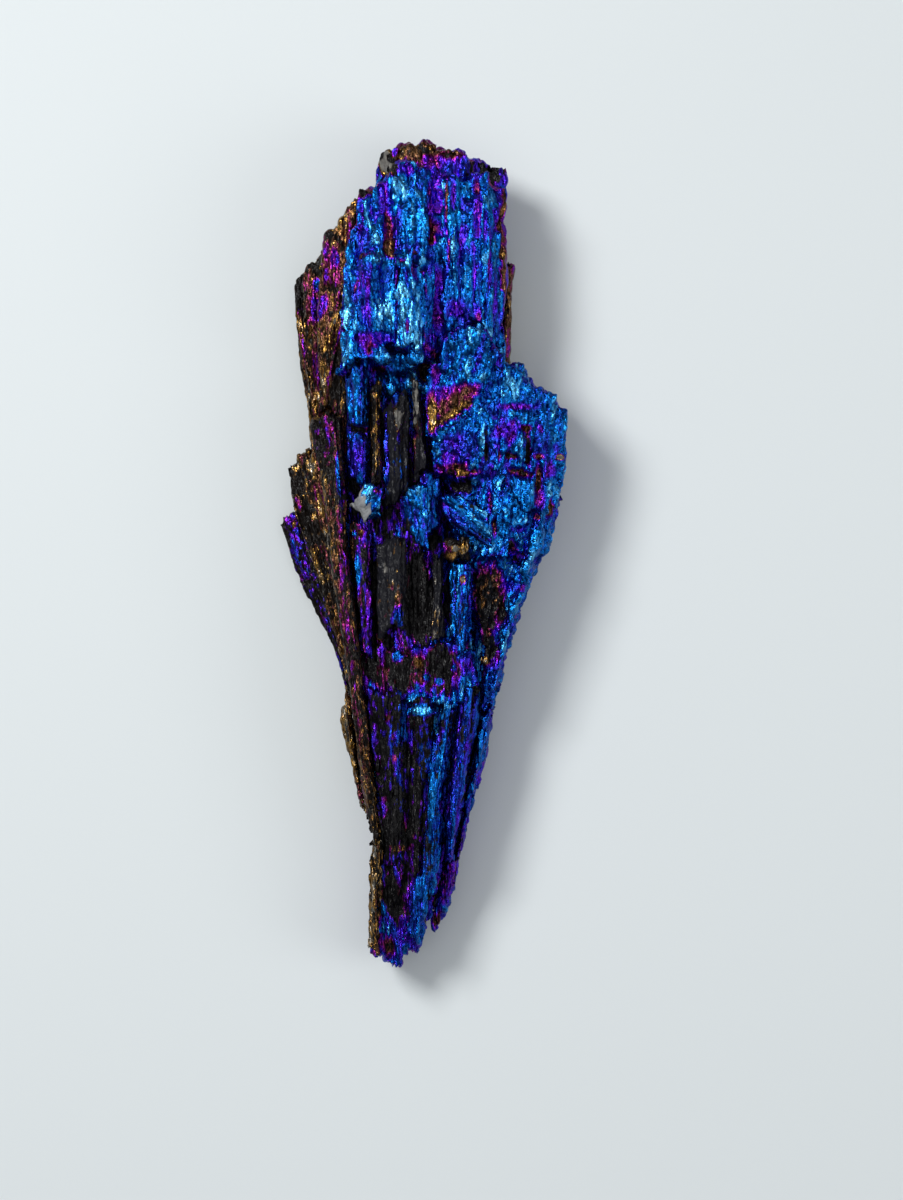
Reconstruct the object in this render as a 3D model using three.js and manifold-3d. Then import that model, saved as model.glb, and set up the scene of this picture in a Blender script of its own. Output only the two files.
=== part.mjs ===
// A cluster of black kyanite blades, grown together at a narrow root and fanning out to a broad, ragged
// head, under a rainbow coat of titanium. It lies on its back: X runs across the fan, Y from the root to
// the head and Z up. Sizes are in millimetres, and the origin is under the middle of the cluster, on the
// surface it lies on.
import * as THREE from "three";
import { mergeVertices } from "three/addons/utils/BufferGeometryUtils.js";
import Module from "manifold-3d";

const wasm = await Module();
wasm.setup();

const LENGTH = 65.8; // root to head
const CREVICE = 0.3; // the gap left between two neighbouring blades
const RIDGE = 0.22; // how far the ribs along a blade stand up or sink
const ROUGH_END = 0.45; // how unevenly a blade's ribs break off at its ends
const EDGE_DROP = 0.34; // how much of a blade's thickness its front loses at its two long edges
const BACK_DROP = 0.14; // the same for its back
const UNDERCUT = 0.45; // how far a blade's sides lean in towards its back, to overhang its neighbours
const LEAN_SHARE = 0.25; // the most that they lean in, as a share of its width
const BACK_RIDGE = 0.6; // the height of the ribs on its back, as a share of those on its front
const REST_AREA = 40; // half the width of the block that trims the underside flat
const DRAWN_LENGTH = 65.8; // the length that the stations below are drawn for
const SCALE = LENGTH / DRAWN_LENGTH;

// A value from -1 to 1 that looks random and is the same every time.
function wobble(seed, i, j = 0) {
  const s = Math.sin(seed * 12.9898 + i * 78.233 + j * 37.719) * 43758.5453;
  return 2 * (s - Math.floor(s)) - 1;
}

// The value at a share of the way along a list of evenly spaced values.
function along(list, share) {
  const at = Math.min(Math.max(share, 0), 1) * (list.length - 1);
  const i = Math.min(Math.floor(at), list.length - 2);
  return list.length === 1 ? list[0] : list[i] + (list[i + 1] - list[i]) * (at - i);
}

// A blade's left, right, back and front at a height y, from its stations of [y, left, right, back,
// front].
function sectionAt(stations, y) {
  const last = stations.length - 1;
  const above = stations.findIndex((s) => s[0] > y);
  const i = above === -1 ? last - 1 : Math.max(above - 1, 0);
  const [a, b] = [stations[i], stations[i + 1]];
  const share = Math.min(Math.max((y - a[0]) / (b[0] - a[0]), 0), 1);
  return a.map((value, k) => value + (b[k] - value) * share);
}

// One lath: a box whose columns are ribs that run along it. head and foot say how far past its last and
// first station each part of its width reaches. grow makes it larger all round, to cut its place in a
// neighbour.
function lath(shape, grow) {
  const { stations, head = [0], foot = [0], ribs = 5, rows = 5, rough = ROUGH_END, ridge = RIDGE } = shape;
  const { seed = 1, slope = 0, edge = EDGE_DROP } = shape;
  const box = new THREE.BoxGeometry(1, 1, 1, ribs, rows, 1);
  box.deleteAttribute("normal");
  box.deleteAttribute("uv");
  const geometry = mergeVertices(box);
  const point = geometry.getAttribute("position");
  const [low, high] = [stations[0][0], stations[stations.length - 1][0]];
  for (let k = 0; k < point.count; k++) {
    const across = point.getX(k) + 0.5;
    const up = point.getY(k) + 0.5;
    const through = point.getZ(k) + 0.5;
    const rib = Math.round(across * ribs);
    const row = Math.round(up * rows);
    const start = low + along(foot, across) + rough * wobble(seed + 1, rib);
    const end = high + along(head, across) + rough * wobble(seed + 2, rib);
    const y = start + (end - start) * up;
    const [, left, right, back, front] = sectionAt(stations, y);
    const side = Math.abs(2 * across - 1) ** 3;
    const depth = front - back;
    const height = ridge * (0.8 * wobble(seed, rib) + 0.5 * wobble(seed + 3, rib, row));
    const top = front - depth * edge * side + height + slope * (across - 0.5) + grow;
    const bottom = back + depth * BACK_DROP * side - BACK_RIDGE * height - grow;
    const spread = rib % ribs === 0 ? 0 : (0.5 * wobble(seed + 4, rib)) / ribs;
    const lean = Math.min(UNDERCUT, LEAN_SHARE * (right - left)) * (1 - through);
    const outwards = rib % ribs === 0 ? Math.sign(across - 0.5) : 0;
    const x = left + (right - left) * (across + spread) - lean * outwards;
    const endwards = row % rows === 0 ? Math.sign(up - 0.5) : 0;
    const z = bottom + (top - bottom) * through;
    point.setXYZ(k, x + grow * outwards, y + grow * endwards, z);
  }
  geometry.scale(SCALE, SCALE, SCALE);
  return solidOf(geometry);
}

function solidOf(geometry) {
  return new wasm.Manifold(
    new wasm.Mesh({
      numProp: 3,
      vertProperties: new Float32Array(geometry.getAttribute("position").array),
      triVerts: new Uint32Array(geometry.index.array),
    }),
  );
}

const fused = (laths, grow) => laths.map((shape) => lath(shape, grow)).reduce((a, b) => a.add(b));

// The broad middle of the fan. Its floor runs from the root to the head, four bands of fused blades stand
// on the upper half, and a band of broken blades crosses it where the trunk starts.
const mainFan = {
  name: "main_fan",
  color: "#1560c8",
  laths: [
    {
      seed: 3,
      ribs: 8,
      rows: 12,
      foot: [1.2, 0.4, 0, -0.1, 0.3, 1.1],
      head: [-0.3, 0.3, 0.4, 0.1, -0.6, -1.1],
      stations: [
        [-32.7, -4.4, -0.5, 1.8, 4.9],
        [-31, -4.6, -0.3, 1.4, 5.6],
        [-27, -4.2, 1.2, 1.2, 6.3],
        [-22, -4.0, 2.0, 1.0, 6.9],
        [-17, -4.8, 3.4, 0.8, 7.2],
        [-11, -5.0, 4.9, 0.7, 7.2],
        [-8, -5.4, 5.0, 0.7, 6.6],
        [-4, -5.9, 4.2, 0.7, 6.1],
        [4, -6.6, 1.9, 0.8, 6.1],
        [10, -6.8, 1.2, 0.9, 6.3],
        [16, -5.8, 6.3, 1.1, 7.4],
        [24, -5.0, 6.5, 1.9, 8.3],
        [29, -4.6, 6.6, 3.0, 8.2],
        [32.4, -3.3, 6.6, 3.9, 7.3],
      ],
    },
    {
      seed: 11,
      ribs: 5,
      rows: 5,
      foot: [-0.4, 1.1, 1.7],
      head: [-1.5, -0.4, 0.2],
      slope: 0.5,
      edge: 0.17,
      stations: [
        [14.6, -6.9, -2.6, 7.4, 9.5],
        [19, -6.8, -2.7, 7.6, 10.0],
        [25, -6.1, -2.7, 7.7, 10.0],
        [30.2, -4.8, -2.5, 7.3, 8.9],
      ],
    },
    {
      seed: 12,
      ribs: 4,
      rows: 4,
      foot: [0, 0.5, 0.9],
      head: [-0.3, 0.5, 0],
      stations: [
        [15.2, -6.5, -3.1, 8.6, 10.3],
        [23.4, -5.5, -3.1, 9.2, 11.1],
      ],
    },
    {
      seed: 13,
      ribs: 5,
      rows: 5,
      foot: [0.2, 0, -0.7],
      head: [0.1, 0.4, 0.1],
      edge: 0.17,
      stations: [
        [16.2, -3.1, 1.1, 4.8, 10.1],
        [20, -3.0, 1.2, 5, 10.6],
        [26, -2.9, 1.1, 5, 10.6],
        [31, -2.8, 1.0, 5, 9.2],
      ],
    },
    {
      seed: 14,
      ribs: 4,
      rows: 4,
      foot: [0, 0.2, 0],
      head: [0.2, 0.5, -0.6],
      stations: [
        [16.4, -2.6, 0.5, 8.8, 10.9],
        [23.4, -2.6, 0.3, 9.4, 11.6],
      ],
    },
    {
      seed: 15,
      ribs: 4,
      rows: 5,
      foot: [-0.2, 0.6, 0.4],
      head: [0.3, -0.4, -0.9],
      edge: 0.15,
      stations: [
        [15.8, 0.8, 3.9, 4.8, 8.6],
        [18.6, 0.9, 3.9, 5, 9.8],
        [26, 1.0, 3.9, 5, 10.1],
        [30.6, 1.0, 3.9, 5, 9.0],
      ],
    },
    {
      seed: 16,
      ribs: 4,
      rows: 5,
      foot: [0.4, 0, -0.8],
      head: [0.2, 0.1, -0.5],
      slope: -0.5,
      edge: 0.15,
      stations: [
        [15.6, 3.5, 6.5, 4.8, 8.4],
        [18.4, 3.6, 6.5, 5, 9.5],
        [26, 3.6, 6.6, 5, 9.8],
        [29.9, 3.7, 6.6, 5, 8.8],
      ],
    },
    {
      seed: 17,
      ribs: 8,
      rows: 2,
      ridge: 0.4,
      foot: [0.5, -0.3, 0.2, -0.4, 0.3],
      head: [0, 0.8, 0.1, 0.6, -0.2],
      stations: [
        [-11.6, -5.5, 4.7, 5, 7.9],
        [-7.9, -5.9, 4.2, 5, 7.3],
      ],
    },
    {
      seed: 18,
      ribs: 3,
      rows: 6,
      foot: [1.6, 0, -0.6, 0.6],
      head: [-2.6, 0.6, 1.4, -1.2],
      stations: [
        [-28.8, -2.6, 1.1, -0.3, 1.8],
        [-27, -2.8, 1.7, -0.4, 1.7],
        [-22, -3.1, 2.8, -0.5, 1.9],
        [-16, -3.7, 4.3, -0.5, 2.4],
        [-8, -5.0, 5.7, -0.8, 2.6],
        [-4, -5.6, 5.6, -0.9, 3],
        [8, -6.4, 1.2, -0.9, 3],
        [17, -5.2, 3.6, -0.2, 4],
      ],
    },
    {
      seed: 19,
      ribs: 3,
      rows: 3,
      foot: [0.4, -1.4, 0.6],
      head: [0.8, 0.2, -1.6],
      stations: [
        [12.6, 0.6, 5.4, 0.2, 4],
        [26, 0.4, 5.7, 1.4, 5],
      ],
    },
  ],
};

// The lobe on the right: one sheet that overlies the main fan and breaks off in a slanted edge over the
// hollow, and the body below it, which narrows to a strip along the right edge of the trunk.
const rightFan = {
  name: "right_fan",
  color: "#1a6fd0",
  laths: [
    {
      seed: 21,
      ribs: 8,
      rows: 9,
      head: [-1.8, -1.2, -0.2, 1.2, 2.8, 2.6, 1.9, 0.7, -1.9],
      slope: -1.4,
      stations: [
        [-12.2, 4.6, 5.7, 3.8, 7.0],
        [-8, 4.9, 6.5, 3.2, 6.9],
        [-5, 3.9, 7.6, 2.2, 6.5],
        [-2, 2.9, 8.8, 1.2, 6.5],
        [-0.4, 2.6, 9.6, 1.0, 7.0],
        [0.6, 2.4, 10.1, 1.0, 8.0],
        [4, 1.8, 11.1, 1.0, 8.3],
        [8, 1.4, 11.5, 1.1, 8.8],
        [12.4, 1.0, 11.4, 1.7, 8.9],
      ],
    },
    {
      seed: 26,
      ribs: 3,
      rows: 3,
      foot: [1.2, -0.8, 0.9],
      head: [-1.1, 0.9, -0.8],
      stations: [
        [-4.4, 4.0, 6.6, -0.4, 3],
        [3, 3.6, 9.0, -0.7, 3],
        [10.4, 3.8, 9.4, -0.3, 3],
      ],
    },
    {
      seed: 22,
      ribs: 6,
      rows: 5,
      foot: [-3.4, -3.2, -2.6, -2.0, -1.0, 1.0],
      head: [-1.6, 0.2, 0.9, 0.6, -0.4, -1.6],
      stations: [
        [12.6, 0.1, 6.5, 6.4, 9.8],
        [15.4, 0.5, 6.6, 6.4, 10.4],
        [17.4, 0.8, 6.6, 6.6, 10.7],
      ],
    },
    {
      seed: 27,
      ribs: 5,
      rows: 3,
      rough: 0.15,
      edge: 0.1,
      foot: [0.6, -0.2, 0.3, 0],
      head: [-0.2, 0.6, 1.4, 2.2, 2.9],
      stations: [
        [6.0, 0.8, 5.4, 6.5, 9.2],
        [9.5, 0.5, 5.6, 6.5, 10.3],
      ],
    },
    {
      seed: 23,
      ribs: 5,
      rows: 5,
      foot: [2.4, 1.6, -0.4, -1.4, -1],
      head: [1.6, 2.0, 1.2, 0.2, -1.9],
      slope: -1.2,
      stations: [
        [4.6, 5.2, 10.8, 6.0, 9.3],
        [9, 5.0, 11.4, 6.0, 9.9],
        [13.2, 5.2, 11.3, 6.0, 9.7],
      ],
    },
    {
      seed: 24,
      ribs: 3,
      rows: 5,
      stations: [
        [-10.8, 4.9, 6.0, 4, 8.0],
        [-6, 5.9, 7.3, 4, 8.3],
        [-1, 7.3, 9.2, 4, 8.4],
        [4.4, 8.6, 11.0, 4, 8.4],
      ],
    },
    {
      seed: 25,
      ribs: 4,
      rows: 4,
      head: [-0.6, 0.3, 0.5],
      slope: -0.6,
      stations: [
        [-0.4, 4.4, 8.6, 5, 8.6],
        [5.4, 4.6, 8.6, 5, 9.2],
      ],
    },
  ],
};

// The blade along the left edge of the hollow and the trunk, down to the root.
const leftShoulder = {
  name: "left_shoulder_blade",
  color: "#5a4630",
  laths: [
    {
      seed: 31,
      ribs: 4,
      rows: 9,
      head: [-1.0, 0.3, 0.2],
      slope: 0.5,
      stations: [
        [-22.3, -4.2, -3.3, 2.0, 7.1],
        [-16, -5.4, -4.1, 2.6, 7.9],
        [-10, -6.0, -4.7, 4.2, 8.2],
        [-4, -6.9, -5.5, 4.9, 8.1],
        [0, -7.6, -6.0, 5.2, 8.0],
        [5, -8.0, -6.2, 5.3, 8.0],
        [7.4, -8.4, -6.3, 5.2, 7.9],
        [9, -9.4, -6.4, 4.8, 7.7],
        [11.2, -9.0, -6.6, 4.8, 7.4],
      ],
    },
  ],
};

// Three thin ribbed blades at the upper left. Each lies a step lower than the one beside it and reaches
// in under it.
const leftWings = [
  {
    name: "left_wing_inner_blade",
    color: "#6a4f2a",
    laths: [
      {
        seed: 41,
        ribs: 5,
        rows: 4,
        head: [-3.0, -1.2, 0.2, 0.6],
        slope: 0.3,
        edge: 0.2,
        stations: [
          [8, -8.3, -5.8, 4.2, 5.8],
          [16, -8.4, -5.2, 5.2, 6.9],
          [23, -8.3, -4.8, 5.6, 7.2],
          [28.6, -7.0, -4.2, 5.6, 7.1],
        ],
      },
    ],
  },
  {
    name: "left_wing_middle_blade",
    color: "#5c3a8c",
    laths: [
      {
        seed: 42,
        ribs: 5,
        rows: 5,
        head: [-1.6, -0.3, 0.3, 0.6],
        slope: 0.3,
        edge: 0.2,
        stations: [
          [6, -8.9, -6.6, 2.4, 3.8],
          [16, -9.7, -6.4, 3.3, 4.9],
          [21, -9.8, -6.2, 3.7, 5.3],
          [24.6, -9.4, -6.0, 3.8, 5.2],
        ],
      },
    ],
  },
  {
    name: "left_wing_outer_blade",
    color: "#3c2c4c",
    laths: [
      {
        seed: 43,
        ribs: 4,
        rows: 5,
        head: [-0.9, 0.2, 0.4, 0.6],
        slope: 0.3,
        edge: 0.2,
        stations: [
          [6, -9.0, -7.0, 0.8, 2.2],
          [12, -9.5, -7.2, 1.2, 2.7],
          [16, -10.3, -7.4, 1.6, 3.1],
          [20, -10.7, -7.4, 1.9, 3.4],
          [22.2, -10.4, -7.4, 2.0, 3.3],
        ],
      },
    ],
  },
];

// Three blades that splay out to the lower left, each lower than the next and reaching in under it.
const splayedBlades = [
  {
    name: "splayed_blade_inner",
    color: "#7a6034",
    laths: [
      {
        seed: 51,
        ribs: 4,
        rows: 5,
        head: [-0.9, 0.1, 0.1],
        slope: 0.3,
        edge: 0.24,
        stations: [
          [-17.6, -5.0, -4.2, 2.2, 4.2],
          [-10, -6.1, -4.8, 2.5, 4.0],
          [-5, -7.0, -5.6, 3.1, 4.6],
          [0, -8.2, -6.2, 3.5, 5.0],
          [5, -9.8, -6.8, 3.6, 5.0],
          [8.4, -10.0, -7.2, 3.4, 4.7],
        ],
      },
    ],
  },
  {
    name: "splayed_blade_middle",
    color: "#6b4a2c",
    laths: [
      {
        seed: 52,
        ribs: 4,
        rows: 6,
        head: [-0.7, 0.2, 0.1],
        slope: 0.3,
        edge: 0.24,
        stations: [
          [-13, -5.8, -5.0, 1.2, 2.6],
          [-8, -6.6, -5.2, 1.3, 2.8],
          [-4, -8.0, -6.0, 1.7, 3.1],
          [0, -9.4, -6.8, 2.0, 3.3],
          [3.4, -10.6, -7.6, 2.1, 3.4],
          [5.2, -11.1, -8.0, 2.1, 3.4],
          [8, -11.2, -8.4, 2.1, 3.2],
        ],
      },
    ],
  },
  {
    name: "splayed_blade_outer",
    color: "#40209c",
    laths: [
      {
        seed: 53,
        ribs: 4,
        rows: 6,
        head: [-1.3, -0.2, 0.3],
        slope: 0.3,
        edge: 0.24,
        stations: [
          [-11.4, -6.2, -5.0, 0.3, 1.5],
          [-8.2, -7.0, -5.4, 0.3, 1.7],
          [-4, -9.2, -6.6, 0.4, 1.8],
          [0, -11.0, -7.8, 0.5, 1.9],
          [3.4, -12.0, -8.8, 0.6, 1.9],
        ],
      },
    ],
  },
];

// Blades that stand side by side on the floor of the hollow in the fan's front. Each row holds a name, a
// seed, stations, a head and a colour.
const hollowBlades = [
  [
    "hollow_blade_far_left",
    61,
    [
      [5.4, -6.2, -4.3, 5.6, 8.1],
      [15.2, -6.3, -4.5, 5.6, 8.8],
    ],
    [0.5, 0, 0.4],
    "#123c8c",
  ],
  [
    "hollow_blade_left",
    62,
    [
      [5.4, -4.3, -3.4, 5.6, 7.6],
      [13.2, -4.3, -3.4, 5.6, 8.2],
    ],
    [0, 0.3],
    "#55412a",
  ],
  [
    "hollow_blade_middle",
    63,
    [
      [4.6, -3.1, -1.1, 5.6, 7.8],
      [12.4, -3.3, -1.1, 5.6, 8.5],
    ],
    [-0.6, 0.3, 0.2],
    "#3a4250",
  ],
  [
    "hollow_blade_right",
    64,
    [
      [5.4, -0.8, 0.7, 5.6, 8.0],
      [14.0, -1.0, -0.3, 5.6, 8.7],
    ],
    [0.3, -0.4],
    "#4a4438",
  ],
  [
    "lower_blade_far_left",
    65,
    [
      [-7.6, -5.5, -4.1, 5.6, 7.7],
      [2.4, -6.1, -4.2, 5.6, 7.9],
    ],
    [0.2, -0.6],
    "#1c46b4",
  ],
  [
    "lower_blade_left",
    66,
    [
      [-6.4, -3.6, -1.1, 5.6, 7.8],
      [0.6, -3.6, -1.3, 5.6, 8.0],
    ],
    [0, 0.8, 0.3],
    "#39404e",
  ],
  [
    "lower_blade_middle",
    67,
    [
      [-7.6, 0.5, 1.7, 5.6, 7.3],
      [-0.1, 0.7, 1.7, 5.6, 7.2],
    ],
    [0.4, -0.4, 0.2],
    "#2a2220",
  ],
  [
    "lower_blade_right",
    68,
    [
      [-8.4, 2.0, 3.7, 5.4, 8.2],
      [-0.4, 2.1, 4.0, 5.4, 8.6],
    ],
    [-0.4, 0.5, 0.2],
    "#1d5aa8",
  ],
].map(([name, seed, stations, head, color]) => ({
  name,
  color,
  laths: [{ seed, ribs: 3, rows: 3, ridge: 0.16, rough: 0.4, stations, head, foot: head }],
}));

// Short broken pieces wedged in the hollow.
const wedgedPieces = [
  {
    name: "wedged_block",
    color: "#1e8ad8",
    laths: [
      {
        seed: 71,
        ribs: 5,
        rows: 3,
        slope: 0.7,
        head: [-0.4, -0.1, 0.4],
        foot: [1.5, 0.2, -0.5],
        rough: 0.2,
        edge: 0.12,
        stations: [
          [0.9, -1.7, 0.4, 6.6, 8.6],
          [5.1, -2.1, 0.3, 6.6, 9.6],
        ],
      },
      {
        seed: 72,
        ribs: 2,
        rows: 4,
        stations: [
          [2.0, -0.4, 1.3, 6.4, 8.4],
          [6.3, -0.4, 1.3, 6.4, 8.9],
        ],
      },
    ],
  },
  {
    name: "pale_chip",
    color: "#9fc4e0",
    laths: [
      {
        seed: 73,
        ribs: 4,
        rows: 3,
        slope: 1.3,
        head: [-1.4, 0, 0.3],
        foot: [1.3, 0.2, 0.1],
        stations: [
          [2.6, -5.6, -3.4, 6.6, 8.3],
          [5.3, -5.7, -3.2, 6.6, 9.0],
        ],
      },
    ],
  },
  {
    name: "slanted_blade",
    color: "#15508c",
    laths: [
      {
        seed: 74,
        ribs: 5,
        rows: 4,
        head: [0.2, 0.3, -0.2, -1.0],
        foot: [1.4, 0.4, -0.3],
        rough: 0.2,
        edge: 0.12,
        stations: [
          [0.9, 3.4, 5.5, 7.0, 9.2],
          [2.6, 1.9, 5.3, 7.0, 9.5],
          [4.5, 1.3, 4.7, 7.0, 9.4],
        ],
      },
    ],
  },
  {
    name: "spark_crystal",
    color: "#d85a90",
    laths: [
      {
        seed: 75,
        ribs: 4,
        rows: 3,
        rough: 0.2,
        ridge: 0.3,
        stations: [
          [-0.3, 1.7, 3.7, 7.4, 8.9],
          [1.1, 1.6, 3.6, 7.4, 9.2],
        ],
      },
    ],
  },
];

// Long blades that lie side by side on the front of the trunk and run down to the root.
const trunkBlades = [
  {
    name: "trunk_blade_left",
    color: "#2a1c58",
    laths: [
      {
        seed: 81,
        ribs: 5,
        rows: 7,
        ridge: 0.28,
        stations: [
          [-24.4, -3.0, -1.4, 5.0, 7.2],
          [-18, -3.8, -1.4, 5.4, 8.1],
          [-10.9, -4.8, -1.6, 5.4, 8.8],
        ],
      },
    ],
  },
  {
    name: "trunk_blade_middle",
    color: "#1c2230",
    laths: [
      {
        seed: 82,
        ribs: 4,
        rows: 7,
        ridge: 0.3,
        head: [0.6, 0.2, -0.2],
        stations: [
          [-25.6, -1.2, -0.3, 5.0, 7.0],
          [-18, -1.2, 0.2, 5.4, 7.8],
          [-12.1, -1.3, 1.2, 5.4, 8.9],
        ],
      },
    ],
  },
  {
    name: "trunk_blade_right",
    color: "#1a70c8",
    laths: [
      {
        seed: 83,
        ribs: 4,
        rows: 6,
        stations: [
          [-30.8, -1.9, -0.3, 3.8, 6.3],
          [-25, -0.5, 1.1, 4.8, 7.3],
          [-18, 0.3, 1.5, 5.2, 8.2],
          [-11.9, 1.4, 2.7, 5.4, 8.8],
        ],
      },
    ],
  },
  {
    name: "trunk_blade_far_right",
    color: "#1f4cb0",
    laths: [
      {
        seed: 84,
        ribs: 4,
        rows: 7,
        stations: [
          [-24.6, 1.7, 2.3, 3.4, 6.8],
          [-18, 1.8, 3.6, 3.4, 7.8],
          [-10.7, 3.0, 4.6, 3.6, 8.5],
        ],
      },
    ],
  },
  {
    name: "root_edge_blade",
    color: "#8a6a30",
    laths: [
      {
        seed: 85,
        ribs: 3,
        rows: 6,
        foot: [0.7, 0.2, 0],
        stations: [
          [-32.2, -4.6, -3.2, 3.0, 5.9],
          [-27, -4.4, -3.2, 3.0, 6.6],
          [-22.4, -4.1, -3.0, 3.0, 7.2],
        ],
      },
    ],
  },
];

// Thin blades at the cluster's edges: a dark splinter that ends in a free point beside the root, a flake
// on the left of the trunk, and a sliver behind the main fan's right edge.
const edgePieces = [
  {
    name: "right_splinter",
    color: "#45187c",
    laths: [
      {
        seed: 91,
        ribs: 3,
        rows: 7,
        rough: 0.2,
        edge: 0.2,
        foot: [0, 0.2, 1.0],
        stations: [
          [-30.2, 0.7, 1.1, 2.0, 3.4],
          [-27, 0.9, 2.4, 1.6, 4.8],
          [-22, 1.6, 3.5, 1.0, 6.0],
          [-17, 3.0, 4.8, 0.8, 6.8],
          [-12, 4.6, 5.8, 1.6, 6.9],
          [-9.4, 5.0, 6.3, 1.4, 6.6],
        ],
      },
    ],
  },
  {
    name: "left_flake",
    color: "#8d8468",
    laths: [
      {
        seed: 92,
        ribs: 3,
        rows: 4,
        head: [-0.8, 0.2, 0.1],
        stations: [
          [-20.6, -4.9, -4.0, 2.8, 5.2],
          [-16.2, -6.1, -4.6, 1.8, 5.8],
          [-13, -6.7, -5.0, 1.4, 6.0],
          [-10.4, -6.4, -5.3, 2.2, 5.6],
        ],
      },
    ],
  },
  {
    name: "right_back_sliver",
    color: "#6d3c34",
    laths: [
      {
        seed: 93,
        ribs: 3,
        rows: 5,
        head: [0.2, 0.1, -0.6],
        stations: [
          [12.4, 5.4, 6.8, 2.0, 5.2],
          [18, 5.6, 7.0, 2.4, 5.8],
          [23.2, 5.7, 7.2, 3.0, 5.8],
        ],
      },
    ],
  },
];

// Each blade gives way to the ones before it, a crevice away, and keeps only what is left in one piece.
const blades = [
  mainFan,
  rightFan,
  leftShoulder,
  ...trunkBlades,
  ...wedgedPieces,
  ...hollowBlades,
  ...splayedBlades,
  ...leftWings,
  ...edgePieces,
];
const ground = new THREE.BoxGeometry(2 * REST_AREA, 2 * REST_AREA, REST_AREA);
ground.deleteAttribute("normal");
ground.deleteAttribute("uv");
ground.translate(0, 0, -REST_AREA / 2);
const below = solidOf(mergeVertices(ground));

const made = [];
for (const blade of blades) {
  let solid = fused(blade.laths, 0).subtract(below);
  for (const before of made) solid = solid.subtract(before.grown);
  const biggest = solid.decompose().reduce((a, b) => (b.volume() > a.volume() ? b : a));
  made.push({ ...blade, solid: biggest, grown: fused(blade.laths, CREVICE) });
}

// The origin goes under the middle of the cluster's box.
const whole = new THREE.Box3();
for (const { solid } of made) {
  const box = solid.boundingBox();
  whole.expandByPoint(new THREE.Vector3(...box.min));
  whole.expandByPoint(new THREE.Vector3(...box.max));
}
const middle = whole.getCenter(new THREE.Vector3());

const cluster = new THREE.Group();
for (const { name, color, solid } of made) {
  const mesh = solid.translate([-middle.x, -middle.y, -whole.min.z]).getMesh();
  const geometry = new THREE.BufferGeometry();
  geometry.setAttribute("position", new THREE.BufferAttribute(mesh.vertProperties, 3));
  geometry.setIndex(new THREE.BufferAttribute(mesh.triVerts, 1));
  geometry.computeVertexNormals();
  const coat = new THREE.MeshStandardMaterial({ color, roughness: 0.35, metalness: 0.85 });
  const piece = new THREE.Mesh(geometry, coat);
  piece.name = name;
  cluster.add(piece);
}

export default cluster;
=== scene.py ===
import math

import bmesh
import bpy
import numpy as np
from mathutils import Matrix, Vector


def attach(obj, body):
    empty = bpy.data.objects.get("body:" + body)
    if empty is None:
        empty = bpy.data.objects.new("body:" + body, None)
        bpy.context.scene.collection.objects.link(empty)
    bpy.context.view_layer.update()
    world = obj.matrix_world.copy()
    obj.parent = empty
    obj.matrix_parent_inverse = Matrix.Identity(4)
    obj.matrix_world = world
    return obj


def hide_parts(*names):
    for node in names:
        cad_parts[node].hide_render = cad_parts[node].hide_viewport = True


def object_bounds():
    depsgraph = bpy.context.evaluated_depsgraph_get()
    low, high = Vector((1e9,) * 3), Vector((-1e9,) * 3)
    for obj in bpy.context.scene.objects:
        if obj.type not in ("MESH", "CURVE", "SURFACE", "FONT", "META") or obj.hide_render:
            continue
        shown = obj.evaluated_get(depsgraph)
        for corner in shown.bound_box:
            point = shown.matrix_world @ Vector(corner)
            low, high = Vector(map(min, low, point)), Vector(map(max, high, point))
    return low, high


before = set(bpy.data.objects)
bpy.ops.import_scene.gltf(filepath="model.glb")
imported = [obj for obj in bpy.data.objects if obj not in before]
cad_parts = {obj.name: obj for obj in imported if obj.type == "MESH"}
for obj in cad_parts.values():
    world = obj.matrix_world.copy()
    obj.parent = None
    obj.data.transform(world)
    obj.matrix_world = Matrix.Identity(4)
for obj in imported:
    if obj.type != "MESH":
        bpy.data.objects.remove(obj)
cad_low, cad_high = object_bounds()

# The camera looks straight down on the cluster where it lies, from about a forearm's length above it, with
# the broad head at the top of the picture and the root at the bottom.
MM = 0.001
middle = (cad_low + cad_high) / 2
picture_height = 96 * MM
picture_right_of_middle = 2.32 * MM
picture_below_middle = 3.64 * MM
eye_height = 400 * MM
eye = bpy.data.cameras.new("eye")
eye.sensor_width = 36
eye.lens = eye.sensor_width / picture_height * eye_height
eye.clip_start = 10 * MM
eye.clip_end = 10
eye_object = bpy.data.objects.new("eye", eye)
eye_object.location = (
    middle.x + picture_right_of_middle,
    middle.y - picture_below_middle,
    middle.z + eye_height,
)
bpy.context.scene.collection.objects.link(eye_object)
bpy.context.scene.camera = eye_object

# The cluster is kyanite, grown as bundles of fused laths, each striated along its length and broken off
# unevenly. The titanium coat went on as vapour, mostly from above, so the faces that look that way are blue,
# and those that look away from it are violet, magenta, bronze and straw gold.


def place(tree, kind, inputs=None, **settings):
    """A new node with its settings, its inputs set to values or linked to other nodes' sockets."""
    node = tree.nodes.new(kind)
    for name, value in settings.items():
        setattr(node, name, value)
    for socket, value in (inputs or {}).items():
        if isinstance(value, bpy.types.NodeSocket):
            tree.links.new(value, node.inputs[socket])
        else:
            node.inputs[socket].default_value = value
    return node


def number(tree, operation, *values):
    """The result of arithmetic on numbers."""
    return place(tree, "ShaderNodeMath", dict(enumerate(values)), operation=operation).outputs[0]


def vector(tree, operation, *values):
    """The result of arithmetic on vectors, which is a number for LENGTH and DOT_PRODUCT."""
    factor_socket = 3
    inputs = dict(enumerate(values))
    if operation == "SCALE":
        inputs[factor_socket] = inputs.pop(1)
    node = place(tree, "ShaderNodeVectorMath", inputs, operation=operation)
    return node.outputs["Value" if operation in ("LENGTH", "DOT_PRODUCT") else "Vector"]


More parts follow.
